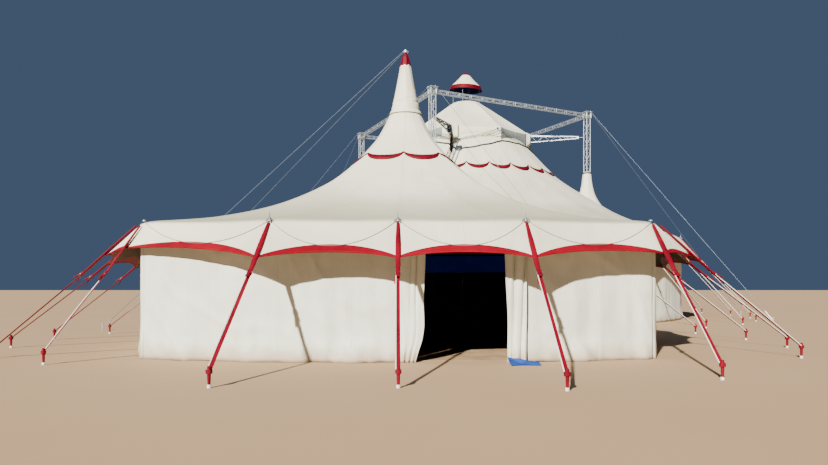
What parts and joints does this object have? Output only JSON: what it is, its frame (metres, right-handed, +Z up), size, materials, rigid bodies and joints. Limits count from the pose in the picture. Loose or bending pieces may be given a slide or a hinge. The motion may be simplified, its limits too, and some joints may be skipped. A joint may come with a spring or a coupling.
{
  "type": "circus big top tent",
  "caption": "Round big top hung from lattice masts, joined by a short link to a pole-and-strap entrance tent with a red scalloped edge.",
  "frame": {"origin": "middle of the underside of the entrance tent's mast foot plate, on the ground", "axes": "+Y from the entrance through the link towards the big top, +Z up, +X to the right as seen by a visitor who faces the entrance"},
  "size_m": [29.113, 40.1598, 13.2047],
  "materials": {
    "roof_canvas": "matte PVC-coated canvas",
    "wall_canvas": "matte canvas",
    "red_canvas": "matte canvas and webbing",
    "navy_canvas": "matte lining",
    "galvanised_steel": "galvanised",
    "steel_cable": "twisted wire"
  },
  "bodies": {
    "root": {"arm_boot_back": "roof_canvas", "arm_boot_front": "roof_canvas", "arm_boot_left": "roof_canvas", "arm_boot_right": "roof_canvas", "big_canopy_back": "roof_canvas", "big_canopy_front": "roof_canvas", "big_canopy_left": "roof_canvas", "big_canopy_right": "roof_canvas", "big_edge_straps_back": "red_canvas", "big_edge_straps_front": "red_canvas", "big_edge_straps_left": "red_canvas", "big_edge_straps_right": "red_canvas", "big_side_poles_back": "galvanised_steel", "big_side_poles_front": "galvanised_steel", "big_wall_back": "wall_canvas", "big_wall_front": "wall_canvas", "big_wall_left": "wall_canvas", "big_wall_right": "wall_canvas", "cap_cone": "roof_canvas", "cap_skirt": "red_canvas", "cap_tip": "red_canvas", "entrance_curtain_left": "wall_canvas", "entrance_curtain_right": "wall_canvas", "foyer_canopy_back": "roof_canvas", "foyer_canopy_front": "roof_canvas", "foyer_edge_straps_back": "red_canvas", "foyer_edge_straps_front": "red_canvas", "foyer_edge_straps_left": "red_canvas", "foyer_edge_straps_right": "red_canvas", "foyer_groundsheet": "navy_canvas", "foyer_mast": "galvanised_steel", "foyer_mast_guys": "steel_cable", "foyer_peak_sleeve": "roof_canvas", "foyer_peak_tip": "red_canvas", "foyer_side_poles_back": "galvanised_steel", "foyer_side_poles_front": "galvanised_steel", "foyer_wall_back": "wall_canvas", "foyer_wall_front_left": "wall_canvas", "foyer_wall_front_right": "wall_canvas", "foyer_wall_left": "wall_canvas", "foyer_wall_right": "wall_canvas", "inner_pelmet": "navy_canvas", "lifting_cross": "galvanised_steel", "link_tunnel": "wall_canvas", "mast_back": "galvanised_steel", "mast_front": "galvanised_steel", "mast_guys_back": "steel_cable", "mast_guys_front": "steel_cable", "mast_guys_left": "steel_cable", "mast_guys_right": "steel_cable", "mast_left": "galvanised_steel", "mast_right": "galvanised_steel", "mast_sleeve_back": "roof_canvas", "mast_sleeve_front": "roof_canvas", "mast_sleeve_left": "roof_canvas", "mast_sleeve_right": "roof_canvas"}
  },
  "joints": []
}
